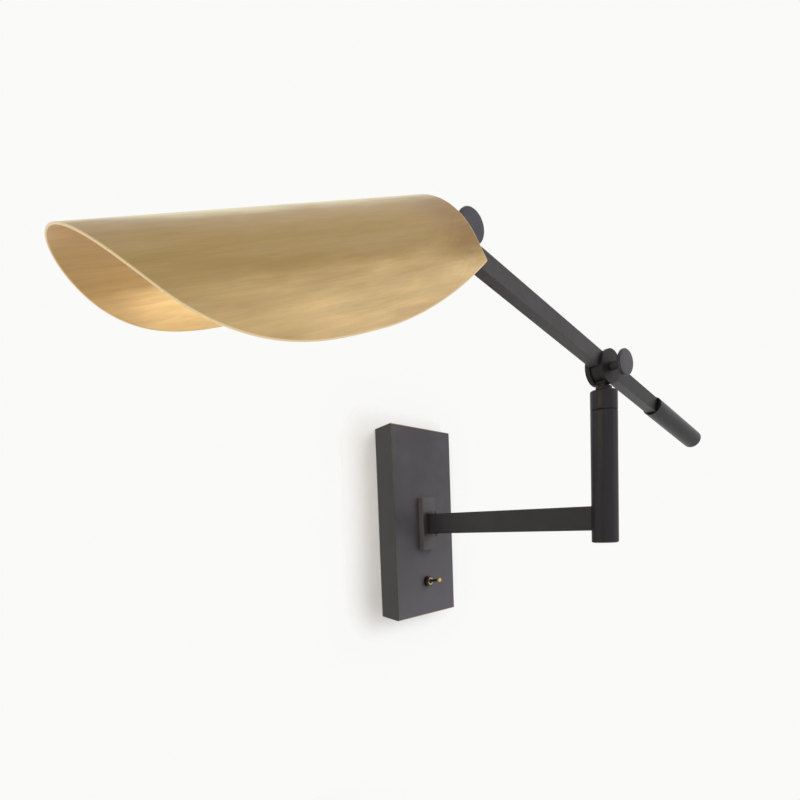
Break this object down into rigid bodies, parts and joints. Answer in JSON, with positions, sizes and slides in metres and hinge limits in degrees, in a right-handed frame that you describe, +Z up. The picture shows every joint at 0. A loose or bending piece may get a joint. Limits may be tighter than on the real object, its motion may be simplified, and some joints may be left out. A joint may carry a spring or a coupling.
{
  "type": "swing arm wall lamp",
  "caption": "Swing arm wall lamp with a rectangular canopy and toggle switch, a hinged bracket and post, a tilting arm with a rear hand grip, and a leaf-shaped folded metal shade over a bulb.",
  "frame": {"origin": "centre of the canopy's back face, on the wall, midway between the two junction box screws", "axes": "+Z up the wall, -Y straight out from the wall, +X to the right of someone facing the wall"},
  "size_m": [0.6293, 0.2988, 0.3327],
  "materials": {
    "bronze": "dark bronze, soft sheen",
    "bronze_screw": "dark bronze screw heads",
    "bronze_knob": "dark bronze, turned face",
    "bronze_grip": "dark bronze, matte",
    "bronze_cup": "dark bronze, warmed by the bulb",
    "steel": "zinc plated",
    "green_screw": "green ground screw",
    "nickel": "nickel plated",
    "brass": "bright brass",
    "dull_brass": "dull brass strip",
    "lever": "browned lever with a worn brass tip",
    "dark_plastic": "moulded switch body",
    "ceramic": "glazed ceramic, off white",
    "bulb_glass": "frosted glass",
    "filament": "lit filament",
    "shade": "streaked gold leaf lacquer"
  },
  "bodies": {
    "wall": {"wall_plate": "steel", "ground_screw": "green_screw", "canopy": "bronze", "cover_screws": "bronze_screw", "hinge_tab": "bronze", "tab_screws": "steel", "hinge_pin": "bronze_screw", "toggle_body": "dark_plastic", "toggle_bushing": "nickel", "toggle_nut": "nickel"},
    "switch_lever": {"toggle_lever": "lever"},
    "bracket": {"bracket_bar": "bronze", "post_tube": "bronze", "post_foot": "bronze", "post_bush": "brass"},
    "swivel": {"swivel_cap": "bronze", "swivel_washer": "steel", "swivel_nut": "steel", "neck_collar": "bronze", "lower_yoke": "bronze"},
    "lower_clamp": {"tilt_knob": "bronze_knob"},
    "arm": {"arm_hub": "bronze", "arm_tube": "bronze", "rear_tube": "bronze", "grip": "bronze_grip", "end_hub": "bronze"},
    "stem": {"shade_yoke": "bronze", "stem_nut": "brass", "lamp_cup": "bronze_cup", "cup_nut": "steel", "lampholder": "ceramic", "bulb_cap": "nickel", "bulb_glass": "bulb_glass", "filament": "filament"},
    "upper_clamp": {"shade_knob": "bronze_knob"},
    "shade_set": {"shade_bracket": "dull_brass", "shade_studs": "brass", "stud_nuts": "brass", "shade": "shade"}
  },
  "joints": [
    {"name": "wall_swing", "type": "hinge", "parent": "wall", "child": "bracket", "pos_m": [0, -0.04135, -0.002], "axis": [0, 0, 1], "range_deg": [-75, 75]},
    {"name": "post_swivel", "type": "hinge", "parent": "bracket", "child": "swivel", "pos_m": [0, -0.24975, 0.101], "axis": [0, 0, 1], "range_deg": [-20, 150]},
    {"name": "arm_tilt", "type": "hinge", "parent": "swivel", "child": "arm", "pos_m": [0, -0.24975, 0.1414], "axis": [-0.2079, -0.9781, 0], "range_deg": [-18, 51]},
    {"name": "lower_knob_turn", "type": "hinge", "parent": "swivel", "child": "lower_clamp", "pos_m": [0, -0.24975, 0.1414], "axis": [-0.2079, -0.9781, 0], "range_deg": [0, 360]},
    {"name": "shade_tilt", "type": "hinge", "parent": "arm", "child": "stem", "pos_m": [-0.19571, -0.20815, 0.20181], "axis": [-0.2079, -0.9781, 0], "range_deg": [-60, 50]},
    {"name": "upper_knob_turn", "type": "hinge", "parent": "stem", "child": "upper_clamp", "pos_m": [-0.19571, -0.20815, 0.20181], "axis": [-0.2079, -0.9781, 0], "range_deg": [0, 360]},
    {"name": "shade_swivel", "type": "hinge", "parent": "stem", "child": "shade_set", "pos_m": [-0.19571, -0.20815, 0.20181], "axis": [0.8738, -0.1857, 0.4493], "range_deg": [-78, 42]},
    {"name": "switch_flip", "type": "hinge", "parent": "wall", "child": "switch_lever", "pos_m": [0, -0.0315, -0.073], "axis": [1, 0, 0], "range_deg": [0, 16]}
  ]
}
